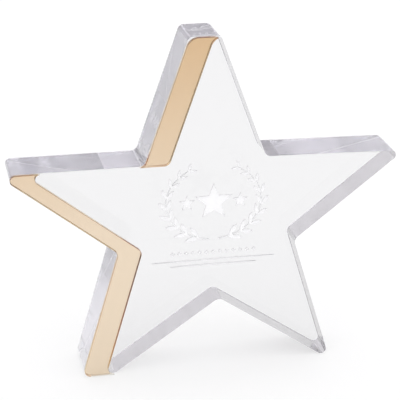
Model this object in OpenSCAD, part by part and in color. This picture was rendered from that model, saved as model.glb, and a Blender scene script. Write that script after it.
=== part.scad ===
// Star trophy: a thick clear acrylic star that stands on one cut-off foot and
// on the toe of its other leg, with two gold mirror strips on its left edges.
// Millimetres, +Z up, +X to the viewer's right, front towards -Y.
// The origin is the middle of the outline, on the surface the star stands on.
// Corners are given where the straight edges would meet, before rounding.

/* [Star block] */
// Height from the standing surface to the level cut across the top arm
star_height = 134; // [111.5:0.5:161]
// Thickness of the clear block
block_thickness = 19; // [6:0.5:50]
// Radius of the two corners of the top cut
top_corner_radius = 2.4; // [0.5:0.1:6]
// Radius of the three pointed tips
tip_radius = 2; // [0.5:0.1:3]
// Radius of the five inner corners
inner_corner_radius = 2.8; // [0.5:0.1:8]

/* [Top arm] */
// Where the left edge meets the top cut, from the middle line
top_left_x = -7.3; // [-16:0.1:-4]
// Where the right edge meets the top cut, from the middle line
top_right_x = 4.8; // [4:0.1:14]

/* [Left arm] */
// Height of the left arm's level upper edge
left_arm_top = 85.2; // [71:0.1:102.3]
// Inner corner above the left arm, from the middle line
left_shoulder_x = -24.3; // [-32:0.1:-18]
// Left tip, from the middle line
left_tip_x = -78.3; // [-100:0.1:-60]

/* [Right arm] */
// Inner corner above the right arm, from the middle line
right_shoulder_x = 22.7; // [18:0.1:32]
// Height of that corner
right_shoulder_z = 86; // [76:0.1:96]
// Right tip, from the middle line
right_tip_x = 78.2; // [60:0.1:100]
// Height of the right tip
right_tip_z = 84.9; // [76:0.1:96]

/* [Waist] */
// Inner corner below the left arm, from the middle line
left_notch_x = -34.7; // [-42:0.1:-26]
// Height of that corner
left_notch_z = 51.2; // [42:0.1:60]
// Inner corner below the right arm, from the middle line
right_notch_x = 34.7; // [26:0.1:42]
// Height of that corner
right_notch_z = 50.7; // [42:0.1:60]
// Inner corner between the legs, from the middle line
crotch_x = 4.9; // [-4:0.1:12]
// Height of that corner
crotch_z = 28.5; // [20:0.1:38]

/* [Legs] */
// Outer end of the level foot under the left leg, from the middle line
foot_left_x = -49.5; // [-60:0.1:-46]
// Inner end of the foot, from the middle line
foot_right_x = -36.2; // [-38:0.1:-28]
// Radius of the foot's outer corner
foot_outer_radius = 2.5; // [0.5:0.1:4]
// Radius of the foot's inner corner
foot_inner_radius = 1.5; // [0.5:0.1:4]
// Toe of the right leg, from the middle line
toe_x = 51; // [42:0.1:62]
// Height of the toe's point, which the rounding takes away
toe_z = -2.8; // [-6:0.1:0]

/* [Gold strips] */
// Width of the strips, measured level across the face
strip_width = 9.3; // [5:0.1:14]
// Thickness of the gold tinted sheet
gold_sheet_thickness = 1.4; // [0.8:0.1:4]
// Thickness of the mirror coat behind the sheet
mirror_coat_thickness = 0.1; // [0.1:0.05:0.3]
// Thickness of the clear adhesive film behind the coat
adhesive_thickness = 0.15; // [0.1:0.05:0.5]
// How much rounder the strips are than the block at the top cut
strip_top_extra_radius = 2.8; // [0:0.1:3.4]

/* [Hidden] */

$fn = 96;

// Overlap that makes each rounding meet its straight edges cleanly
crossing = 0.002;

function unit(v) = v / norm(v);
function turn_of(a, b) = a[0] * b[1] - a[1] * b[0];

// Centre of a rounding with radius r in the corner b between a and c
function rounding_centre(a, b, c, r) =
    let (
        to_a = unit(a - b),
        to_c = unit(c - b),
        half_angle = acos(to_a * to_c) / 2
    )
    b + unit(to_a + to_c) * r / sin(half_angle);

// The toe's rounding rests on the surface, and the foot is cut at that level
left_notch = [left_notch_x, left_notch_z];
right_notch = [right_notch_x, right_notch_z];
crotch = [crotch_x, crotch_z];
toe = [toe_x, toe_z];
standing_z = rounding_centre(crotch, toe, right_notch, tip_radius)[1] - tip_radius;
top_z = standing_z + star_height;

// Sharp corners of the star, counter-clockwise, each with its radius
function star_corners(top_radius) = [
    [[top_left_x, top_z], top_radius],
    [[left_shoulder_x, left_arm_top], inner_corner_radius],
    [[left_tip_x, left_arm_top], tip_radius],
    [left_notch, inner_corner_radius],
    [[foot_left_x, standing_z], foot_outer_radius],
    [[foot_right_x, standing_z], foot_inner_radius],
    [crotch, inner_corner_radius],
    [toe, tip_radius],
    [right_notch, inner_corner_radius],
    [[right_tip_x, right_tip_z], tip_radius],
    [[right_shoulder_x, right_shoulder_z], inner_corner_radius],
    [[top_right_x, top_z], top_radius]
];

function corner_before(corners, i) = corners[(i + len(corners) - 1) % len(corners)][0];
function corner_after(corners, i) = corners[(i + 1) % len(corners)][0];
function bulges_out(corners, i) =
    turn_of(corners[i][0] - corner_before(corners, i), corner_after(corners, i) - corners[i][0]) > 0;

// Centre of the rounding of corner i
function centre_of(corners, i) =
    rounding_centre(corner_before(corners, i), corners[i][0], corner_after(corners, i), corners[i][1]);

// Where the rounding of corner i touches the edge towards another corner
function touch_point(corners, i, other) =
    let (edge = unit(other - corners[i][0]))
    corners[i][0] + edge * ((centre_of(corners, i) - corners[i][0]) * edge);

// Round piece for corner i, which crosses the two edges a hair before its touch points
module rounding(corners, i) {
    translate(centre_of(corners, i)) circle(r = corners[i][1] + crossing);
}

// Outline with true arcs in all its corners, x to the right and y up
module rounded_outline(corners) {
    indices = [for (i = [0 : len(corners) - 1]) i];
    straight_points = [
        for (i = indices)
            each [
                touch_point(corners, i, corner_before(corners, i)),
                touch_point(corners, i, corner_after(corners, i))
            ]
    ];
    intersection() {
        difference() {
            union() {
                polygon(straight_points);
                for (i = indices) if (bulges_out(corners, i)) rounding(corners, i);
            }
            for (i = indices) if (!bulges_out(corners, i)) rounding(corners, i);
        }
        // Level cuts under the foot and across the top
        translate([2 * left_tip_x, standing_z]) square([2 * (right_tip_x - left_tip_x), star_height]);
    }
}

// What a star leaves uncovered when it slides to the right by the strip width
module uncovered_outline() {
    corners = star_corners(top_corner_radius + strip_top_extra_radius);
    difference() {
        rounded_outline(corners);
        translate([strip_width, 0]) rounded_outline(corners);
    }
}

// Left edge of the top arm, down to the level of the left arm's upper edge
module upper_strip_outline() {
    lower_end = left_arm_top + 2 * crossing;
    intersection() {
        uncovered_outline();
        translate([left_tip_x, lower_end]) square([right_tip_x - left_tip_x, star_height]);
    }
}

// Lower edge of the left arm and outer edge of the left leg
module lower_strip_outline() {
    upper_end = left_arm_top - 2 * crossing;
    intersection() {
        uncovered_outline();
        translate([left_tip_x, upper_end - star_height]) square([crotch_x - left_tip_x, star_height]);
    }
}

// The block and the layers of the strips share the depth about y = 0
strip_thickness = gold_sheet_thickness + mirror_coat_thickness + adhesive_thickness;
front_face_y = (strip_thickness - block_thickness) / 2;
mirror_back_y = front_face_y - adhesive_thickness;
sheet_back_y = mirror_back_y - mirror_coat_thickness;

// The outline's leftmost and rightmost points lie at equal distances from x = 0
block_corners = star_corners(top_corner_radius);
leftmost_x = centre_of(block_corners, 2)[0] - tip_radius;
rightmost_x = centre_of(block_corners, 9)[0] + tip_radius;
middle_x = (leftmost_x + rightmost_x) / 2;

// Stands an outline up with its back at back_y and its thickness towards the front
module upright(back_y, thickness) {
    translate([-middle_x, back_y, -standing_z])
        rotate([90, 0, 0])
            linear_extrude(height = thickness)
                children();
}

// The clear block itself
module star_block() {
    color([0.86, 0.87, 0.91, 0.55])
        upright(front_face_y + block_thickness, block_thickness)
            rounded_outline(block_corners);
}

// Clear film that holds a strip on the face
module adhesive_film() {
    color([0.92, 0.90, 0.84])
        upright(front_face_y, adhesive_thickness)
            children();
}

// Silvered and painted back of a strip
module mirror_coat() {
    color([0.75, 0.72, 0.66])
        upright(mirror_back_y, mirror_coat_thickness)
            children();
}

// Gold tinted acrylic sheet in front of the mirror coat
module gold_sheet() {
    color([0.91, 0.80, 0.60])
        upright(sheet_back_y, gold_sheet_thickness)
            children();
}

star_block();
adhesive_film() upper_strip_outline();  // upper_adhesive_film
mirror_coat() upper_strip_outline();  // upper_mirror_coat
gold_sheet() upper_strip_outline();  // upper_gold_sheet
adhesive_film() lower_strip_outline();  // lower_adhesive_film
mirror_coat() lower_strip_outline();  // lower_mirror_coat
gold_sheet() lower_strip_outline();  // lower_gold_sheet
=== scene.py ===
"""Star trophy: a clear polished star with gold mirror strips and an engraved face, on a pale floor."""

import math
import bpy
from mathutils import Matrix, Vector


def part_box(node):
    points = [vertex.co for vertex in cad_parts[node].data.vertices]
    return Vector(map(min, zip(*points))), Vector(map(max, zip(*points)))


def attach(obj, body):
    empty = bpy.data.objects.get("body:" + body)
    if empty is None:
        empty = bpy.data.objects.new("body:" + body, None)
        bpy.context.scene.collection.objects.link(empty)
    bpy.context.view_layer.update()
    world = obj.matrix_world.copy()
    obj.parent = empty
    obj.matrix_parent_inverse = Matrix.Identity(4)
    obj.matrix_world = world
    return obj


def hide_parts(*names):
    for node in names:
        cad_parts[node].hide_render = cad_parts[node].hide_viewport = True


bl_info = {
    "name": "Star Trophy",
    "version": (1, 0, 0),
    "blender": (4, 5, 0),
    "location": "View3D > Sidebar > Star Trophy",
    "description": "Builds a clear star trophy with gold mirror strips around its packed frame",
    "category": "Add Mesh",
}

from collections import namedtuple

import bmesh
import bpy
from bpy.props import (
    FloatProperty,
    FloatVectorProperty,
    IntProperty,
    PointerProperty,
)
from bpy.types import Operator, Panel, PropertyGroup
from mathutils import Matrix, Vector
from mathutils.geometry import delaunay_2d_cdt

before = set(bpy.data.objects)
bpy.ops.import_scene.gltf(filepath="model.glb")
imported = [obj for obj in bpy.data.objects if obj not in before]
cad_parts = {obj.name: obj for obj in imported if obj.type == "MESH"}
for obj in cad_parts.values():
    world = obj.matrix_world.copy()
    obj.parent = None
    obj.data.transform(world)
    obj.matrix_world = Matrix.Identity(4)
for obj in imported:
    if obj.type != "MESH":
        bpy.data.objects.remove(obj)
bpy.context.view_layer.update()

MM = 0.001
BLOCK = "star_block"
STRIPS = ("upper", "lower")

ACRYLIC_IOR = 1.49
ADHESIVE_IOR = 1.47

# Kinds of face, which are also the places of their materials in a piece's list; the last kind is a wall
# with painted shade
FACE, EDGE, RECESS, PAINTED_SHADE_EDGE = 0, 1, 2, 3

# Points closer than this are one point
SAME_PLACE = 0.001 * MM


# ---------------------------------------------------------------- settings


class StarBlockSettings(PropertyGroup):
    """Sizes and finish of the clear block"""

    edge_break: FloatProperty(
        name="Edge break",
        description="Width of the polished break along the block's rims",
        default=0.22 * MM, min=0.0, unit="LENGTH",
    )
    tint: FloatVectorProperty(
        name="Tint",
        description="Colour that thick acrylic takes on",
        default=(0.86, 0.87, 0.93), size=3, min=0.0, max=1.0, subtype="COLOR",
    )
    tint_density: FloatProperty(
        name="Tint density",
        description="How quickly light takes on the tint inside the block",
        default=4.0, min=0.0,
    )
    wall_clearness: FloatProperty(
        name="Wall clearness",
        description="Share of light that the polished walls let through unscattered",
        default=0.80, min=0.0, max=1.0, subtype="FACTOR",
    )
    wall_colour: FloatVectorProperty(
        name="Wall colour",
        description="Colour of the polished walls' slight milkiness",
        default=(0.97, 0.955, 1.0), size=3, min=0.0, max=1.0, subtype="COLOR",
    )
    # Share of light let through by the walls with painted shade; kept low so that their grey colour
    # paints shade on them
    painted_shade_clearness: FloatProperty(
        name="Painted shade clearness",
        description="The same share for the shade-painted walls",
        default=0.40, min=0.0, max=1.0, subtype="FACTOR",
    )
    # Dark grey that paints shade on the walls facing right and under the right leg
    painted_shade_colour: FloatVectorProperty(
        name="Painted shade colour",
        description="Colour of the shade-painted walls' milkiness",
        default=(0.53, 0.505, 0.54), size=3, min=0.0, max=1.0, subtype="COLOR",
    )
    wall_waviness: FloatProperty(
        name="Wall waviness",
        description="Strength of the cutter's waves left in the polished walls",
        default=0.12, min=0.0, max=1.0,
    )


class EngravingSettings(PropertyGroup):
    """Place and size of the engraved wreath, stars and lozenges"""

    depth: FloatProperty(
        name="Depth", description="Depth of the engraving",
        default=0.45 * MM, min=0.05 * MM, unit="LENGTH",
    )
    centre: FloatVectorProperty(
        name="Centre",
        description="Middle of the wreath on the front face, across and up",
        default=(2.5 * MM, 69.0 * MM), size=2, unit="LENGTH",
    )
    wreath_radius: FloatProperty(
        name="Wreath radius", description="Distance from the centre sideways to the stems",
        default=18.6 * MM, min=5 * MM, unit="LENGTH",
    )
    wreath_height_share: FloatProperty(
        name="Wreath height share", description="Height of the wreath for its width",
        default=0.82, min=0.5, max=1.2, subtype="FACTOR",
    )
    leaf_pairs: IntProperty(
        name="Leaf pairs", description="Pairs of leaves on each sprig",
        default=9, min=3, max=20,
    )
    leaf_length: FloatProperty(
        name="Leaf length", description="Length of the largest leaves",
        default=5.6 * MM, min=1 * MM, unit="LENGTH",
    )
    star_radius: FloatProperty(
        name="Star radius", description="Radius of the middle star's points",
        default=7.6 * MM, min=1 * MM, unit="LENGTH",
    )
    bead_count: IntProperty(
        name="Lozenges", description="Lozenges in the row under the wreath",
        default=13, min=3, max=30,
    )


class StripSettings(PropertyGroup):
    """Finish of the gold strips"""

    edge_break: FloatProperty(
        name="Edge break", description="Width of the break along the gold sheet's edges",
        default=0.12 * MM, min=0.0, unit="LENGTH",
    )
    layer_gap: FloatProperty(
        name="Layer gap", description="Hair gap that keeps touching layers apart",
        default=0.01 * MM, min=0.0, unit="LENGTH",
    )
    gold: FloatVectorProperty(
        name="Gold", description="Colour of the tinted sheet",
        default=(0.955, 0.87, 0.66), size=3, min=0.0, max=1.0, subtype="COLOR",
    )
    gold_density: FloatProperty(
        name="Gold density", description="How quickly light takes on the gold tint",
        default=200.0, min=0.0,
    )


class StageSettings(PropertyGroup):
    """Floor, lights and camera"""

    floor_size: FloatProperty(
        name="Floor size", description="Side of the square floor",
        default=8.0, min=1.0, unit="LENGTH",
    )
    floor_colour: FloatVectorProperty(
        name="Floor colour", description="Colour of the plain floor",
        default=(0.33, 0.33, 0.33), size=3, min=0.0, max=1.0, subtype="COLOR",
    )
    floor_glow: FloatProperty(
        name="Floor glow", description="Light that the floor gives off of itself",
        default=0.61, min=0.0, soft_max=1.0,
    )
    wall_light: FloatVectorProperty(
        name="Wall light", description="Light that comes from the studio's walls",
        default=(0.97, 0.96, 0.98), size=3, min=0.0, soft_max=4.0, subtype="COLOR",
    )
    far_wall_light: FloatVectorProperty(
        name="Far wall light", description="Light that comes from high on the wall behind the trophy",
        default=(0.79, 0.77, 0.80), size=3, min=0.0, soft_max=4.0, subtype="COLOR",
    )
    ceiling_light: FloatVectorProperty(
        name="Ceiling light", description="Light that comes from overhead",
        default=(1.75, 1.75, 1.75), size=3, min=0.0, soft_max=4.0, subtype="COLOR",
    )
    camera_place: FloatVectorProperty(
        name="Camera place", description="Where the camera stands",
        default=(-0.11394, -0.52387, 0.2755), size=3, subtype="TRANSLATION",
    )
    camera_turn: FloatProperty(
        name="Camera turn", description="How far the camera stands round from the front",
        default=math.radians(-12.16), subtype="ANGLE",
    )
    camera_height: FloatProperty(
        name="Camera height", description="How far down the camera looks",
        default=math.radians(21.29), subtype="ANGLE",
    )
    camera_roll: FloatProperty(
        name="Camera roll", description="Tilt of the camera about its own axis",
        default=math.radians(0.34), subtype="ANGLE",
    )
    lens: FloatProperty(
        name="Lens", description="Focal length on a 36 mm sensor, in millimetres",
        default=134.1, min=10.0,
    )


class StarTrophySettings(PropertyGroup):
    """All settings of the trophy and its stage"""

    block: PointerProperty(type=StarBlockSettings)
    engraving: PointerProperty(type=EngravingSettings)
    strips: PointerProperty(type=StripSettings)
    stage: PointerProperty(type=StageSettings)


# ---------------------------------------------------------------- outlines


def rim_points(node):
    """Outline of a frame node's front face as (x, z) points, counter-clockwise from the front."""
    bm = bmesh.new()
    bm.from_mesh(node.data)
    bmesh.ops.remove_doubles(bm, verts=bm.verts, dist=SAME_PLACE)
    front_y = min(v.co.y for v in bm.verts)
    front = [f for f in bm.faces if all(abs(v.co.y - front_y) < SAME_PLACE for v in f.verts)]
    # Looked up in a set, but walked in the mesh's own order, so that each run starts at the same point
    is_front = set(front)
    follows = {}
    for face in front:
        for loop in face.loops:
            if not any(other in is_front for other in loop.edge.link_faces if other is not face):
                follows[loop.vert] = loop.link_loop_next.vert
    start = next(iter(follows))
    points, vert = [], start
    while True:
        points.append(Vector((vert.co.x, vert.co.z)))
        vert = follows[vert]
        if vert is start:
            break
    bm.free()
    return points


def circle_through(a, b, c):
    """Centre of the circle through three points."""
    ab, ac = b - a, c - a
    d = 2 * (ab.x * ac.y - ab.y * ac.x)
    ab2, ac2 = ab.length_squared, ac.length_squared
    return a + Vector((ac.y * ab2 - ab.y * ac2, ab.x * ac2 - ac.x * ab2)) / d


def outward(a, b):
    """Outward normal of the edge from a to b of a counter-clockwise outline."""
    along = (b - a).normalized()
    return Vector((along.y, -along.x))


class Outline:
    """A closed outline with finely divided arcs, and the exact normals at both ends of each segment."""

    # An arc is a run of short segments, this many at least, with no sharp corner between them
    SHORT = 1.3 * MM
    LEAST_RUN = 3
    CORNER = math.radians(25)
    # Turn of each segment of a finely divided arc
    STEP = math.radians(3)
    # Keeps the mitre of a very sharp corner short
    LEAST_MITRE_DIVISOR = 0.35
    # A point moves inwards by no more than this share of the outline's width there
    NARROW_SHARE = 0.35
    # Width where nothing lies opposite, which is more than any outline's
    OPEN_WIDTH = 1.0
    # Room for rounding, in a slant and in a share of a segment
    PARALLEL = 1e-12
    SLACK = 1e-6

    def __init__(self, points):
        self.low = Vector((min(p.x for p in points), min(p.y for p in points)))
        self.high = Vector((max(p.x for p in points), max(p.y for p in points)))
        count = len(points)
        bends = []
        for i, p in enumerate(points):
            into, out = p - points[i - 1], points[(i + 1) % count] - p
            bends.append(math.atan2(into.x * out.y - into.y * out.x, into.dot(out)))
        short = [(points[(i + 1) % count] - p).length < self.SHORT for i, p in enumerate(points)]
        first = next(i for i in range(count) if not short[i])
        self.points, self.normals_out, self.normals_in = [], [], []
        i, end = first, first + count
        while i < end:
            a = points[i % count]
            run = 1
            if short[i % count]:
                while (
                    i + run < end
                    and short[(i + run) % count]
                    and abs(bends[(i + run) % count]) < self.CORNER
                    and bends[(i + run) % count] * bends[(i + 1) % count] >= 0
                ):
                    run += 1
            b = points[(i + run) % count]
            if run < self.LEAST_RUN:
                for k in range(run):
                    c, d = points[(i + k) % count], points[(i + k + 1) % count]
                    self.add(c, outward(c, d), outward(c, d))
            else:
                centre = circle_through(a, points[(i + run // 2) % count], b)
                self.add_arc(a, b, centre, bends[(i + 1) % count])
            i += run
        self.count = len(self.points)
        # The normal that a segment has at its end belongs to the next point
        self.normals_in = [self.normals_in[k - 1] for k in range(self.count)]
        self.mitres = []
        for n_in, n_out in zip(self.normals_in, self.normals_out):
            self.mitres.append((n_in + n_out) / max(1 + n_in.dot(n_out), self.LEAST_MITRE_DIVISOR))
        self.widths = self.local_widths()

    def add(self, point, normal_start, normal_end):
        """Adds a segment's first point, with the normals at the segment's two ends."""
        self.points.append(point.copy())
        self.normals_out.append(normal_start)
        self.normals_in.append(normal_end)

    def add_arc(self, a, b, centre, bend):
        """Adds an arc from a to b, which bulges out if it bends to the left."""
        radius = (a - centre).length
        start = math.atan2(a.y - centre.y, a.x - centre.x)
        sweep = (math.atan2(b.y - centre.y, b.x - centre.x) - start) % (2 * math.pi)
        if bend < 0:
            sweep -= 2 * math.pi
        side = 1 if bend > 0 else -1
        steps = max(2, math.ceil(abs(sweep) / self.STEP))
        for k in range(steps):
            angles = [start + sweep * (k + j) / steps for j in (0, 1)]
            normals = [side * Vector((math.cos(t), math.sin(t))) for t in angles]
            self.add(centre + radius * side * normals[0], *normals)

    def local_widths(self):
        """How far each point is from the outline's other side, straight inwards."""
        widths = []
        for i, (point, mitre) in enumerate(zip(self.points, self.mitres)):
            nearest = self.OPEN_WIDTH
            for j in range(self.count):
                k = (j + 1) % self.count
                if i in (j, k):
                    continue
                start, along = self.points[j] - point, self.points[k] - self.points[j]
                slant = along.y * mitre.x - along.x * mitre.y
                if abs(slant) < self.PARALLEL:
                    continue
                hit = (start.x * along.y - start.y * along.x) / -slant
                share = (start.y * mitre.x - start.x * mitre.y) / -slant
                if hit > 0 and -self.SLACK <= share <= 1 + self.SLACK:
                    nearest = min(nearest, hit)
            widths.append(nearest)
        # A sharp corner is as narrow as the points beside it
        for i in range(self.count):
            if self.normals_in[i].angle(self.normals_out[i], 0) > self.CORNER:
                widths[i] = min(widths[i - 1], widths[(i + 1) % self.count])
        return widths

    def inset(self, distance):
        """Points moved inwards by a distance, less where the outline is narrow."""
        moved = []
        for point, mitre, width in zip(self.points, self.mitres, self.widths):
            p = point - mitre * min(distance, self.NARROW_SHARE * width)
            moved.append(Vector((
                min(max(p.x, self.low.x), self.high.x),
                min(max(p.y, self.low.y), self.high.y),
            )))
        return moved


# ---------------------------------------------------------------- mesh building


class Shell:
    """Collects a closed mesh face by face, with the normal of each corner."""

    def __init__(self):
        self.verts, self.faces, self.normals, self.kinds = [], [], [], []

    def vert(self, x, y, z):
        """Adds a point and gives its number."""
        self.verts.append((x, y, z))
        return len(self.verts) - 1

    def face(self, verts, normals, kind):
        """Adds a face, with one normal for all its corners or one for each."""
        if isinstance(normals, Vector):
            normals = [normals] * len(verts)
        self.faces.append(verts)
        self.normals.extend(tuple(n) for n in normals)
        self.kinds.append(kind)

    def build(self, name, materials):
        """Makes the piece and puts it in the scene."""
        mesh = bpy.data.meshes.new(name)
        mesh.from_pydata(self.verts, [], self.faces)
        for material in materials:
            mesh.materials.append(material)
        mesh.polygons.foreach_set("material_index", self.kinds)
        mesh.polygons.foreach_set("use_smooth", [True] * len(self.faces))
        mesh.update()
        mesh.normals_split_custom_set(self.normals)
        piece = bpy.data.objects.new(name, mesh)
        bpy.context.scene.collection.objects.link(piece)
        return piece


FRONT = Vector((0, -1, 0))
BACK = Vector((0, 1, 0))


def wall_normal(flat, tilt, face_normal):
    """Normal between a wall's (tilt 0) and a face's (tilt a quarter turn)."""
    return Vector((flat.x, 0, flat.y)) * math.cos(tilt) + face_normal * math.sin(tilt)


# Walls that face right or lie under the right leg get the darker grey copy of the wall material, which
# paints shade on them; they show in the sideways part of their normals
FACING_RIGHT = 0.85
UNDER_LEG_LEAST, UNDER_LEG_MOST = -0.6, -0.5


def block_wall(normal):
    """Material of the block's wall that has this normal: the plain wall, or the grey copy with painted
    shade for walls that face right or lie under the right leg.
    """
    faces_right = normal.x > FACING_RIGHT
    under_leg = UNDER_LEG_LEAST < normal.x < UNDER_LEG_MOST and normal.y < 0
    return PAINTED_SHADE_EDGE if faces_right or under_leg else EDGE


def all_alike(kind):
    """Finish of walls that are all of one kind, whatever their normal."""
    return lambda normal: kind


def upright_shell(outline, front_y, back_y, edge_break, steps, wall_kind, rim_kind):
    """Walls and rim breaks of an upright plate, with its front and back rings."""
    shell = Shell()
    rows = []
    for y, face_normal, inward in ((front_y, FRONT, 1), (back_y, BACK, -1)):
        side = []
        for k in range(steps + 1):
            tilt = math.pi / 2 * (1 - k / steps)
            inset = edge_break * (1 - math.cos(tilt))
            depth = y + inward * edge_break * (1 - math.sin(tilt))
            side.append((inset, depth, tilt, face_normal))
        rows.extend(side if inward == 1 else side[::-1])
    rings = []
    for inset, depth, _, _ in rows:
        rings.append([shell.vert(p.x, depth, p.y) for p in outline.inset(inset)])
    for k in range(len(rows) - 1):
        tilt_a, face_a = rows[k][2:]
        tilt_b, face_b = rows[k + 1][2:]
        for i in range(outline.count):
            j = (i + 1) % outline.count
            n_i, n_j = outline.normals_out[i], outline.normals_in[j]
            shell.face(
                [rings[k][j], rings[k][i], rings[k + 1][i], rings[k + 1][j]],
                [
                    wall_normal(n_j, tilt_a, face_a), wall_normal(n_i, tilt_a, face_a),
                    wall_normal(n_i, tilt_b, face_b), wall_normal(n_j, tilt_b, face_b),
                ],
                wall_kind(n_i) if k == steps else rim_kind,
            )
    return shell, rings[0], rings[-1]


# The triangulation joins points closer than this, and gives only the triangles inside the loops
JOIN_DISTANCE = 1e-8
TRIANGLES_INSIDE = 1


def engrave(shell, ring, y, shapes, depth):
    """Fills the front ring with a face that has the shapes sunk into it."""
    flat = [Vector((shell.verts[v][0], shell.verts[v][2])) for v in ring]
    loops = [list(range(len(ring)))]
    for shape in shapes:
        loops.append(list(range(len(flat), len(flat) + len(shape))))
        flat.extend(shape)
    verts, _, faces, verts_from, _, faces_from = delaunay_2d_cdt(
        flat, [], loops, TRIANGLES_INSIDE, JOIN_DISTANCE, True
    )
    top, floor = {}, {}

    def top_vert(i):
        if i not in top:
            on_ring = [k for k in verts_from[i] if k < len(ring)]
            top[i] = ring[on_ring[0]] if on_ring else shell.vert(verts[i].x, y, verts[i].y)
        return top[i]

    def floor_vert(i):
        if i not in floor:
            floor[i] = shell.vert(verts[i].x, y + depth, verts[i].y)
        return floor[i]

    sunk_edges, top_edges = set(), set()
    for face, sources in zip(faces, faces_from):
        edges = [(face[k], face[(k + 1) % len(face)]) for k in range(len(face))]
        if any(s > 0 for s in sources):
            shell.face([floor_vert(i) for i in face], FRONT, RECESS)
            sunk_edges.update(edges)
        elif sources:
            shell.face([top_vert(i) for i in face], FRONT, FACE)
            top_edges.update(edges)
    for a, b in sorted(sunk_edges):
        if (b, a) in top_edges:
            across = outward(verts[a], verts[b])
            shell.face(
                [top_vert(a), top_vert(b), floor_vert(b), floor_vert(a)],
                Vector((-across.x, 0, -across.y)), RECESS,
            )


# ---------------------------------------------------------------- ornament


def repeat_along_curve_tree():
    """Geometry Nodes: sets a shape in pairs along a curve, each pair leaning away from it."""
    tree = bpy.data.node_groups.new("Sprig", "GeometryNodeTree")
    interface = tree.interface
    interface.new_socket("Geometry", in_out="INPUT", socket_type="NodeSocketGeometry")
    interface.new_socket("Shape", in_out="INPUT", socket_type="NodeSocketObject")
    interface.new_socket("Pairs", in_out="INPUT", socket_type="NodeSocketInt")
    interface.new_socket("Lean", in_out="INPUT", socket_type="NodeSocketFloat")
    interface.new_socket("Length", in_out="INPUT", socket_type="NodeSocketFloat")
    interface.new_socket("Tip size", in_out="INPUT", socket_type="NodeSocketFloat")
    interface.new_socket("Material", in_out="INPUT", socket_type="NodeSocketMaterial")
    interface.new_socket("Geometry", in_out="OUTPUT", socket_type="NodeSocketGeometry")
    nodes, link = tree.nodes, tree.links.new
    given = nodes.new("NodeGroupInput")
    result = nodes.new("NodeGroupOutput")
    resample = nodes.new("GeometryNodeResampleCurve")
    link(given.outputs["Geometry"], resample.inputs["Curve"])
    link(given.outputs["Pairs"], resample.inputs["Count"])
    parameter = nodes.new("GeometryNodeSplineParameter")
    size = nodes.new("ShaderNodeMapRange")
    link(parameter.outputs["Factor"], size.inputs["Value"])
    link(given.outputs["Length"], size.inputs["To Min"])
    smallest = nodes.new("ShaderNodeMath")
    smallest.operation = "MULTIPLY"
    link(given.outputs["Length"], smallest.inputs[0])
    link(given.outputs["Tip size"], smallest.inputs[1])
    link(smallest.outputs[0], size.inputs["To Max"])
    shape = nodes.new("GeometryNodeObjectInfo")
    link(given.outputs["Shape"], shape.inputs["Object"])
    tangent = nodes.new("GeometryNodeInputTangent")
    heading = nodes.new("FunctionNodeAlignEulerToVector")
    heading.axis = "X"
    heading.pivot_axis = "Z"
    link(tangent.outputs["Tangent"], heading.inputs["Vector"])
    joined = nodes.new("GeometryNodeJoinGeometry")
    for side in (1, -1):
        lean = nodes.new("ShaderNodeMath")
        lean.operation = "MULTIPLY"
        lean.inputs[1].default_value = side
        link(given.outputs["Lean"], lean.inputs[0])
        turn = nodes.new("FunctionNodeRotateEuler")
        turn.rotation_type = "AXIS_ANGLE"
        turn.inputs["Axis"].default_value = (0, 0, 1)
        link(heading.outputs["Rotation"], turn.inputs["Rotation"])
        link(lean.outputs[0], turn.inputs["Angle"])
        place = nodes.new("GeometryNodeInstanceOnPoints")
        link(resample.outputs["Curve"], place.inputs["Points"])
        link(shape.outputs["Geometry"], place.inputs["Instance"])
        link(turn.outputs["Rotation"], place.inputs["Rotation"])
        link(size.outputs["Result"], place.inputs["Scale"])
        link(place.outputs["Instances"], joined.inputs["Geometry"])
    realise = nodes.new("GeometryNodeRealizeInstances")
    link(joined.outputs["Geometry"], realise.inputs["Geometry"])
    finish = nodes.new("GeometryNodeSetMaterial")
    link(realise.outputs["Geometry"], finish.inputs["Geometry"])
    link(given.outputs["Material"], finish.inputs["Material"])
    link(finish.outputs["Geometry"], result.inputs["Geometry"])
    return tree


def shape_object(name, points):
    """A flat one-face object, to be repeated along a curve."""
    mesh = bpy.data.meshes.new(name)
    mesh.from_pydata([(x, y, 0) for x, y in points], [], [list(range(len(points)))])
    mesh.update()
    shape = bpy.data.objects.new(name, mesh)
    bpy.context.scene.collection.objects.link(shape)
    return shape


def repeated_shapes(tree, path, shape, material, **settings):
    """Runs the sprig tree on a path and gives each repeated shape as a list of points."""
    curve = bpy.data.curves.new("Path", "CURVE")
    curve.dimensions = "3D"
    spline = curve.splines.new("POLY")
    spline.points.add(len(path) - 1)
    for point, p in zip(spline.points, path):
        point.co = (p.x, p.y, 0, 1)
    carrier = bpy.data.objects.new("Path", curve)
    bpy.context.scene.collection.objects.link(carrier)
    modifier = carrier.modifiers.new("Sprig", "NODES")
    modifier.node_group = tree
    sockets = {s.name: s.identifier for s in tree.interface.items_tree if s.in_out == "INPUT"}
    modifier[sockets["Shape"]] = shape
    modifier[sockets["Material"]] = material
    for name, value in settings.items():
        modifier[sockets[name.replace("_", " ")]] = value
    bpy.context.view_layer.update()
    depsgraph = bpy.context.evaluated_depsgraph_get()
    mesh = bpy.data.meshes.new_from_object(carrier.evaluated_get(depsgraph))
    shapes = []
    for polygon in mesh.polygons:
        shapes.append([Vector(mesh.vertices[i].co[:2]) for i in polygon.vertices])
    carrier.modifiers.remove(modifier)
    bpy.data.objects.remove(carrier)
    bpy.data.curves.remove(curve)
    bpy.data.meshes.remove(mesh)
    return shapes


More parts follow.
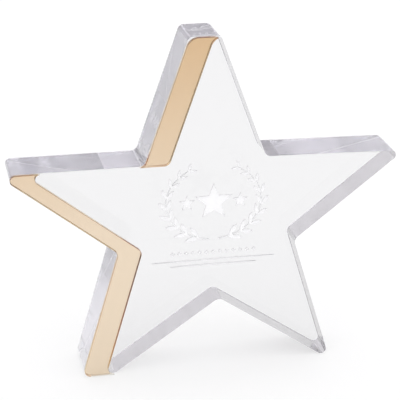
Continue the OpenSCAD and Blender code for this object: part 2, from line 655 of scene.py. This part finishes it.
def ribbon(path, widths):
    """Outline of a flat ribbon of changing width along a path."""
    left, right = [], []
    for i, p in enumerate(path):
        along = (path[min(i + 1, len(path) - 1)] - path[max(i - 1, 0)]).normalized()
        across = Vector((-along.y, along.x)) * widths[i] / 2
        left.append(p + across)
        right.append(p - across)
    return right + left[::-1]


# Each sprig runs from beside the wreath's bottom up to near its top
SPRIG_FOOT = math.radians(-84)
SPRIG_TIP = math.radians(62)
SPRIG_POINTS = 60
STEM_FOOT_WIDTH = 0.62 * MM
STEM_TIP_WIDTH = 0.32 * MM
# Points of the sprig that stay bare of leaves
BARE_FOOT, BARE_TIP = 5, 2
LEAF_LEAN = math.radians(33)
LEAF_TIP_SIZE = 0.62

STAR_INNER_SHARE = 0.42
# Place and size of the two side stars, as shares of the wreath's and the middle star's radius
SIDE_STAR_PLACE, SIDE_STAR_SIZE = 0.56, 0.42

# Row of lozenges under the wreath, and the rules under the row; halves are shares of the wreath's radius
ROW_DROP = 5.4 * MM
ROW_HALF = 0.86
LOZENGE_LENGTH = 1.7 * MM
RULES_DROP = 4.2 * MM
RULE_RISE = 1.0 * MM
RULE_HALF = 1.30
LOWER_RULE_SHARE = 0.7
RULE_STEPS = 24
RULE_END_WIDTH = 0.16 * MM
RULE_SWELL = 0.5 * MM


def sprig_path(centre, side, across, up):
    """Points along one side of the wreath, from foot to tip."""
    path = []
    for k in range(SPRIG_POINTS):
        turn = SPRIG_FOOT + (SPRIG_TIP - SPRIG_FOOT) * k / (SPRIG_POINTS - 1)
        path.append(centre + Vector((side * across * math.cos(turn), up * math.sin(turn))))
    return path


def star_points(centre, radius):
    """Outline of a five-pointed star."""
    points = []
    for k in range(10):
        reach = radius * (1 if k % 2 == 0 else STAR_INNER_SHARE)
        angle = math.radians(90 + 36 * k)
        points.append(centre + reach * Vector((math.cos(angle), math.sin(angle))))
    return points


def rule(middle_x, z, half):
    """Outline of a level line that thins out towards its ends."""
    path, widths = [], []
    for k in range(RULE_STEPS + 1):
        path.append(Vector((middle_x + half * (2 * k / RULE_STEPS - 1), z)))
        widths.append(RULE_END_WIDTH + RULE_SWELL * math.sin(math.pi * k / RULE_STEPS) ** 0.5)
    return ribbon(path, widths)


# Both shapes are one unit long
LEAF = [
    (0.00, 0.00), (0.10, -0.055), (0.24, -0.125), (0.40, -0.17), (0.56, -0.175), (0.72, -0.14),
    (0.86, -0.075), (1.00, 0.02), (0.88, 0.085), (0.74, 0.135), (0.58, 0.15), (0.42, 0.135),
    (0.26, 0.09), (0.12, 0.035),
]
LOZENGE = [(-0.5, 0.0), (0.0, -0.5), (0.5, 0.0), (0.0, 0.5)]


def ornament(settings, material):
    """Outlines of the engraved wreath, its stars, and the lozenges and rules under it."""
    centre = Vector(settings.centre)
    across, up = settings.wreath_radius, settings.wreath_radius * settings.wreath_height_share
    tree = repeat_along_curve_tree()
    leaf = shape_object("Leaf", LEAF)
    lozenge = shape_object("Lozenge", LOZENGE)
    shapes = []
    for side in (1, -1):
        sprig = sprig_path(centre, side, across, up)
        shapes += repeated_shapes(
            tree, sprig[BARE_FOOT:-BARE_TIP], leaf, material,
            Pairs=settings.leaf_pairs, Lean=LEAF_LEAN,
            Length=settings.leaf_length, Tip_size=LEAF_TIP_SIZE,
        )
        taper = (STEM_TIP_WIDTH - STEM_FOOT_WIDTH) / (SPRIG_POINTS - 1)
        shapes.append(ribbon(sprig, [STEM_FOOT_WIDTH + taper * k for k in range(SPRIG_POINTS)]))
        place = centre + Vector((side * SIDE_STAR_PLACE * across, 0))
        shapes.append(star_points(place, SIDE_STAR_SIZE * settings.star_radius))
    shapes.append(star_points(centre, settings.star_radius))
    row_z = centre.y - up - ROW_DROP
    row = [Vector((centre.x + end * ROW_HALF * across, row_z)) for end in (-1, 1)]
    # The tree sets pairs, and both lozenges of a pair are alike, so one of each is enough
    shapes += repeated_shapes(
        tree, row, lozenge, material,
        Pairs=settings.bead_count, Lean=0.0, Length=LOZENGE_LENGTH, Tip_size=1.0,
    )[:settings.bead_count]
    rules_z, half = row_z - RULES_DROP, RULE_HALF * across
    shapes.append(rule(centre.x, rules_z + RULE_RISE, half))
    shapes.append(rule(centre.x, rules_z - RULE_RISE, LOWER_RULE_SHARE * half))
    for template in (leaf, lozenge):
        mesh = template.data
        bpy.data.objects.remove(template)
        bpy.data.meshes.remove(mesh)
    return shapes


# ---------------------------------------------------------------- materials


def principled_material(name):
    """A new material with one shader on its surface."""
    material = bpy.data.materials.new(name)
    material.use_nodes = True
    nodes, link = material.node_tree.nodes, material.node_tree.links.new
    nodes.clear()
    shader = nodes.new("ShaderNodeBsdfPrincipled")
    output = nodes.new("ShaderNodeOutputMaterial")
    link(shader.outputs["BSDF"], output.inputs["Surface"])
    return material, shader, output, nodes, link


def noise(nodes, link, scale, stretch=(1, 1, 1), detail=3.0, roughness=0.5):
    """Noise on Object coordinates, stretched along the axes."""
    where = nodes.new("ShaderNodeTexCoord")
    mapping = nodes.new("ShaderNodeMapping")
    mapping.inputs["Scale"].default_value = stretch
    texture = nodes.new("ShaderNodeTexNoise")
    texture.inputs["Scale"].default_value = scale
    texture.inputs["Detail"].default_value = detail
    texture.inputs["Roughness"].default_value = roughness
    link(where.outputs["Object"], mapping.inputs["Vector"])
    link(mapping.outputs["Vector"], texture.inputs["Vector"])
    return texture.outputs["Fac"]


def spread(nodes, link, value, low, high, source_low=0.35, source_high=0.65):
    """Moves a noise value into a range."""
    node = nodes.new("ShaderNodeMapRange")
    node.inputs["From Min"].default_value = source_low
    node.inputs["From Max"].default_value = source_high
    node.inputs["To Min"].default_value = low
    node.inputs["To Max"].default_value = high
    link(value, node.inputs["Value"])
    return node.outputs["Result"]


def blend_colours(nodes, link, factor, first, second):
    """Colour between two, each a colour or another node's output, by a factor."""
    node = nodes.new("ShaderNodeMix")
    node.data_type = "RGBA"
    for place, colour in (("A", first), ("B", second)):
        if isinstance(colour, bpy.types.NodeSocket):
            link(colour, node.inputs[place])
        else:
            node.inputs[place].default_value = (*colour, 1)
    link(factor, node.inputs["Factor"])
    return node.outputs["Result"]


def coordinate(nodes, link, kind, axis):
    """One axis of a point's coordinates."""
    where = nodes.new("ShaderNodeTexCoord")
    split = nodes.new("ShaderNodeSeparateXYZ")
    link(where.outputs[kind], split.inputs["Vector"])
    return split.outputs[axis]


def bump(nodes, link, height, strength, distance):
    """Normal of a surface that rises and falls with a value."""
    node = nodes.new("ShaderNodeBump")
    node.inputs["Strength"].default_value = strength
    node.inputs["Distance"].default_value = distance
    link(height, node.inputs["Height"])
    return node.outputs["Normal"]


def absorb(nodes, link, output, colour, density):
    """Lets light take on a colour on its way through the piece."""
    volume = nodes.new("ShaderNodeVolumeAbsorption")
    volume.inputs["Color"].default_value = (*colour, 1)
    volume.inputs["Density"].default_value = density
    link(volume.outputs["Volume"], output.inputs["Volume"])


def clear_acrylic_face(name, settings):
    """Cast acrylic's own polished faces, very slightly uneven."""
    material, shader, output, nodes, link = principled_material(name)
    shader.inputs["IOR"].default_value = ACRYLIC_IOR
    shader.inputs["Transmission Weight"].default_value = 1.0
    haze = noise(nodes, link, 35.0)
    base = blend_colours(nodes, link, haze, (0.87, 0.87, 0.872), (0.895, 0.893, 0.893))
    link(base, shader.inputs["Base Color"])
    link(spread(nodes, link, haze, 0.0, 0.012), shader.inputs["Roughness"])
    absorb(nodes, link, output, settings.tint, settings.tint_density)
    return material


def clear_acrylic_wall(name, settings, clearness, colour):
    """Cut and polished walls: a little milky, with duller streaks and the cutter's waves; with a dark
    grey colour and low clearness, the milkiness paints shade on the walls.
    """
    material, shader, output, nodes, link = principled_material(name)
    shader.inputs["IOR"].default_value = ACRYLIC_IOR
    shader.inputs["Transmission Weight"].default_value = clearness
    grain = noise(nodes, link, 60.0, stretch=(1, 0.22, 1), detail=4.0, roughness=0.6)
    streaks = spread(nodes, link, grain, 0.0, 1.0, source_low=0.42, source_high=0.58)
    duller = tuple(0.88 * c for c in colour)
    link(blend_colours(nodes, link, streaks, duller, tuple(colour)), shader.inputs["Base Color"])
    link(spread(nodes, link, grain, 0.0, 0.06), shader.inputs["Roughness"])
    waves = noise(nodes, link, 55.0, stretch=(1, 0.3, 1), detail=2.0, roughness=0.45)
    link(bump(nodes, link, waves, settings.wall_waviness, 0.4 * MM), shader.inputs["Normal"])
    absorb(nodes, link, output, settings.tint, settings.tint_density)
    return material


def frosted_engraving(name, settings):
    """The engraving's frosted floor and sides."""
    material, shader, output, nodes, link = principled_material(name)
    shader.inputs["IOR"].default_value = ACRYLIC_IOR
    shader.inputs["Transmission Weight"].default_value = 0.1
    grain = noise(nodes, link, 1500.0, detail=4.0, roughness=0.7)
    base = blend_colours(nodes, link, grain, (0.97, 0.97, 0.975), (1.0, 1.0, 1.0))
    link(base, shader.inputs["Base Color"])
    link(spread(nodes, link, grain, 0.45, 0.62), shader.inputs["Roughness"])
    link(bump(nodes, link, grain, 0.4, 0.06 * MM), shader.inputs["Normal"])
    absorb(nodes, link, output, settings.tint, settings.tint_density)
    return material


def gold_tinted_sheet(name, settings, edges=False):
    """Gold tinted acrylic, clear enough to see the mirror behind it, with rougher sawn edges."""
    material, shader, output, nodes, link = principled_material(name)
    shader.inputs["IOR"].default_value = ACRYLIC_IOR
    shader.inputs["Transmission Weight"].default_value = 1.0
    if edges:
        grain = noise(nodes, link, 180.0, stretch=(1, 0.4, 1))
        deeper, roughest = (0.94, 0.88, 0.72), 0.16
    else:
        grain = noise(nodes, link, 60.0)
        deeper, roughest = (0.985, 0.965, 0.93), 0.05
    link(blend_colours(nodes, link, grain, deeper, (1.0, 0.985, 0.95)), shader.inputs["Base Color"])
    link(spread(nodes, link, grain, 0.02, roughest), shader.inputs["Roughness"])
    absorb(nodes, link, output, settings.gold, settings.gold_density)
    return material


# The mirror coat's colour carries a painted reflection: it is palest up to the first height and deepest
# gold at the second, dimmer higher up
PAINTED_REFLECTION_PALE_HEIGHT = 60 * MM
PAINTED_REFLECTION_DEEP_HEIGHT = 134 * MM


def silvered_mirror(name):
    """The mirror coat's metal, towards the gold sheet: slightly hazy, with a painted reflection that
    makes it deeper gold higher up.
    """
    material, shader, _, nodes, link = principled_material(name)
    shader.inputs["Metallic"].default_value = 1.0
    haze = noise(nodes, link, 45.0)
    height = coordinate(nodes, link, "Object", "Z")
    # Painted reflection: the colour goes from pale gold low down to deep, darker gold high up
    depth = spread(nodes, link, height, 0.0, 1.0, source_low=PAINTED_REFLECTION_PALE_HEIGHT, source_high=PAINTED_REFLECTION_DEEP_HEIGHT)
    pale = blend_colours(nodes, link, haze, (0.83, 0.75, 0.69), (0.87, 0.785, 0.725))
    deep = blend_colours(nodes, link, haze, (0.69, 0.51, 0.34), (0.72, 0.535, 0.36))
    link(blend_colours(nodes, link, depth, pale, deep), shader.inputs["Base Color"])
    link(spread(nodes, link, haze, 0.03, 0.10), shader.inputs["Roughness"])
    return material


def mirror_backing_paint(name):
    """The grey paint on the back of the mirror coat, seen through the block."""
    material, shader, _, nodes, link = principled_material(name)
    speckle = noise(nodes, link, 900.0, detail=5.0)
    base = blend_colours(nodes, link, speckle, (0.78, 0.76, 0.73), (0.85, 0.83, 0.80))
    link(base, shader.inputs["Base Color"])
    link(spread(nodes, link, speckle, 0.4, 0.55), shader.inputs["Roughness"])
    return material


def adhesive_film(name):
    """Clear bonding film, slightly cloudy."""
    material, shader, _, nodes, link = principled_material(name)
    shader.inputs["IOR"].default_value = ADHESIVE_IOR
    shader.inputs["Transmission Weight"].default_value = 0.9
    cloud = noise(nodes, link, 300.0)
    base = blend_colours(nodes, link, cloud, (0.93, 0.91, 0.86), (0.98, 0.97, 0.94))
    link(base, shader.inputs["Base Color"])
    link(spread(nodes, link, cloud, 0.08, 0.2), shader.inputs["Roughness"])
    return material


def floor_paper(name, colour, glow):
    """Matte pale paper on a light table, which keeps the shadows faint."""
    material, shader, _, nodes, link = principled_material(name)
    fibre = noise(nodes, link, 12.0, detail=2.0)
    paler = tuple(min(1.0, c * 1.01) for c in colour)
    link(blend_colours(nodes, link, fibre, tuple(colour), paler), shader.inputs["Base Color"])
    shader.inputs["Roughness"].default_value = 0.9
    shader.inputs["Specular IOR Level"].default_value = 0.1
    shader.inputs["Emission Color"].default_value = (1.0, 1.0, 1.0, 1.0)
    shader.inputs["Emission Strength"].default_value = glow
    return material


# ---------------------------------------------------------------- operators


# Upward and backward parts of a direction between which the ceiling's and the far wall's light come in
CEILING_FROM, CEILING_FULL = 0.55, 0.95
FAR_WALL_FROM, FAR_WALL_FULL = 0.35, 0.75


def studio_light(scene, settings):
    """Soft light from all round, brightest overhead, and slightly dimmer from the far wall."""
    world = bpy.data.worlds.new("Studio")
    scene.world = world
    world.use_nodes = True
    nodes, link = world.node_tree.nodes, world.node_tree.links.new
    background = nodes["Background"]
    background.inputs["Strength"].default_value = 1.0
    upward = coordinate(nodes, link, "Generated", "Z")
    backward = coordinate(nodes, link, "Generated", "Y")
    overhead = spread(nodes, link, upward, 0.0, 1.0, source_low=CEILING_FROM, source_high=CEILING_FULL)
    far = spread(nodes, link, backward, 0.0, 1.0, source_low=FAR_WALL_FROM, source_high=FAR_WALL_FULL)
    walls = blend_colours(nodes, link, far, settings.wall_light, settings.far_wall_light)
    link(blend_colours(nodes, link, overhead, walls, settings.ceiling_light), background.inputs["Color"])


def trophy_settings(context):
    """The scene's settings of the trophy."""
    return context.scene.star_trophy


# Light runs back and forth inside the block many times before it gets out
BOUNCES = 64

# Steps across the rounding of an edge break, on the block and on the gold sheets
BLOCK_BREAK_STEPS = 4
SHEET_BREAK_STEPS = 3

StripLayer = namedtuple(
    "StripLayer", "name slot materials edge_break steps front_gap edge_kind back_kind"
)


def strip_layers(settings):
    """The layers of a strip from the front backwards; the two thin ones have only a hair's edge break."""
    gap = settings.layer_gap
    return (
        StripLayer(
            "gold_sheet", "gold_sheet",
            [
                gold_tinted_sheet("Gold sheet face", settings),
                gold_tinted_sheet("Gold sheet edge", settings, edges=True),
            ],
            max(settings.edge_break, gap), SHEET_BREAK_STEPS, 0.0, EDGE, FACE,
        ),
        StripLayer(
            "mirror_coat", "mirror_coat",
            [silvered_mirror("Silvered mirror"), mirror_backing_paint("Mirror backing paint")],
            gap, 1, gap, EDGE, EDGE,
        ),
        StripLayer(
            "adhesive_film", "adhesive", [adhesive_film("Adhesive film")],
            gap, 1, gap, FACE, FACE,
        ),
    )


class TROPHY_OT_star_block(Operator):
    """Builds the clear star with its edge breaks and the engraving in its front face"""

    bl_idname = "trophy.star_block"
    bl_label = "Clear Star Block"

    def execute(self, context):
        settings = trophy_settings(context)
        block = settings.block
        low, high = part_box(BLOCK)
        outline = Outline(rim_points(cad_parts[BLOCK]))
        shell, front, back = upright_shell(
            outline, low[1], high[1], block.edge_break, BLOCK_BREAK_STEPS, block_wall, FACE
        )
        materials = [
            clear_acrylic_face("Clear acrylic face", block),
            clear_acrylic_wall("Clear acrylic wall", block, block.wall_clearness, block.wall_colour),
            frosted_engraving("Frosted engraving", block),
            # The second wall material is a dark grey copy that paints shade on the walls facing right and
            # under the right leg
            clear_acrylic_wall("Satin acrylic wall", block, block.painted_shade_clearness, block.painted_shade_colour),
        ]
        shapes = ornament(settings.engraving, materials[RECESS])
        engrave(shell, front, low[1], shapes, settings.engraving.depth)
        shell.face(back[::-1], BACK, FACE)
        piece = shell.build("clear_star_block", materials)
        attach(piece, "root")
        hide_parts(BLOCK)
        return {"FINISHED"}


class TROPHY_OT_gold_strips(Operator):
    """Builds both gold strips: tinted sheet, mirror coat and adhesive film"""

    bl_idname = "trophy.gold_strips"
    bl_label = "Gold Strips"

    def execute(self, context):
        settings = trophy_settings(context).strips
        layers = strip_layers(settings)
        for strip in STRIPS:
            for layer in layers:
                node = f"{strip}_{layer.name}"
                low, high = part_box(node)
                outline = Outline(rim_points(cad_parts[node]))
                shell, front, back = upright_shell(
                    outline, low[1] + layer.front_gap, high[1] - settings.layer_gap,
                    layer.edge_break, layer.steps, all_alike(layer.edge_kind), layer.edge_kind,
                )
                shell.face(front, FRONT, FACE)
                shell.face(back[::-1], BACK, layer.back_kind)
                piece = shell.build(f"{strip}_strip_{layer.name}", layer.materials)
                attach(piece, "root")
                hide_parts(node)
        return {"FINISHED"}


class TROPHY_OT_stage(Operator):
    """Sets up the floor, the soft light and the camera"""

    bl_idname = "trophy.stage"
    bl_label = "Studio Stage"

    def execute(self, context):
        settings = trophy_settings(context).stage
        scene = context.scene
        half = settings.floor_size / 2
        corners = [(-half, -half, 0), (half, -half, 0), (half, half, 0), (-half, half, 0)]
        mesh = bpy.data.meshes.new("Floor")
        mesh.from_pydata(corners, [], [(0, 1, 2, 3)])
        mesh.materials.append(floor_paper("Floor paper", settings.floor_colour, settings.floor_glow))
        floor = bpy.data.objects.new("Floor", mesh)
        scene.collection.objects.link(floor)

        studio_light(scene, settings)

        scene.view_settings.view_transform = "Standard"
        scene.cycles.max_bounces = BOUNCES
        scene.cycles.transmission_bounces = BOUNCES
        scene.cycles.glossy_bounces = BOUNCES

        data = bpy.data.cameras.new("Camera")
        data.lens = settings.lens
        data.sensor_width = 36.0
        data.clip_start = 0.01
        data.clip_end = 50.0
        camera = bpy.data.objects.new("Camera", data)
        turn, down, roll = settings.camera_turn, settings.camera_height, settings.camera_roll
        right = Vector((math.cos(turn), math.sin(turn), 0))
        level = Vector((-math.sin(turn), math.cos(turn), 0))
        ahead = level * math.cos(down) - Vector((0, 0, math.sin(down)))
        up = right.cross(ahead)
        rolled_right = right * math.cos(roll) + up * math.sin(roll)
        rolled_up = up * math.cos(roll) - right * math.sin(roll)
        axes = Matrix((rolled_right, rolled_up, -ahead)).transposed()
        camera.matrix_world = Matrix.Translation(settings.camera_place) @ axes.to_4x4()
        scene.collection.objects.link(camera)
        scene.camera = camera
        return {"FINISHED"}


class TROPHY_PT_panel(Panel):
    """Sidebar panel of the trophy's operators and sizes"""

    bl_idname = "TROPHY_PT_panel"
    bl_label = "Star Trophy"
    bl_space_type = "VIEW_3D"
    bl_region_type = "UI"
    bl_category = "Star Trophy"

    def draw(self, context):
        settings = trophy_settings(context)
        for group, operator in (
            (settings.block, "trophy.star_block"),
            (settings.engraving, None),
            (settings.strips, "trophy.gold_strips"),
            (settings.stage, "trophy.stage"),
        ):
            box = self.layout.box()
            for name in group.__annotations__:
                box.prop(group, name)
            if operator:
                box.operator(operator)


CLASSES = (
    StarBlockSettings,
    EngravingSettings,
    StripSettings,
    StageSettings,
    StarTrophySettings,
    TROPHY_OT_star_block,
    TROPHY_OT_gold_strips,
    TROPHY_OT_stage,
    TROPHY_PT_panel,
)


def register():
    for cls in CLASSES:
        bpy.utils.register_class(cls)
    bpy.types.Scene.star_trophy = PointerProperty(type=StarTrophySettings)


def unregister():
    del bpy.types.Scene.star_trophy
    for cls in reversed(CLASSES):
        bpy.utils.unregister_class(cls)


def main():
    register()
    bpy.ops.trophy.stage()
    bpy.ops.trophy.star_block()
    bpy.ops.trophy.gold_strips()


if __name__ == "__main__":
    main()
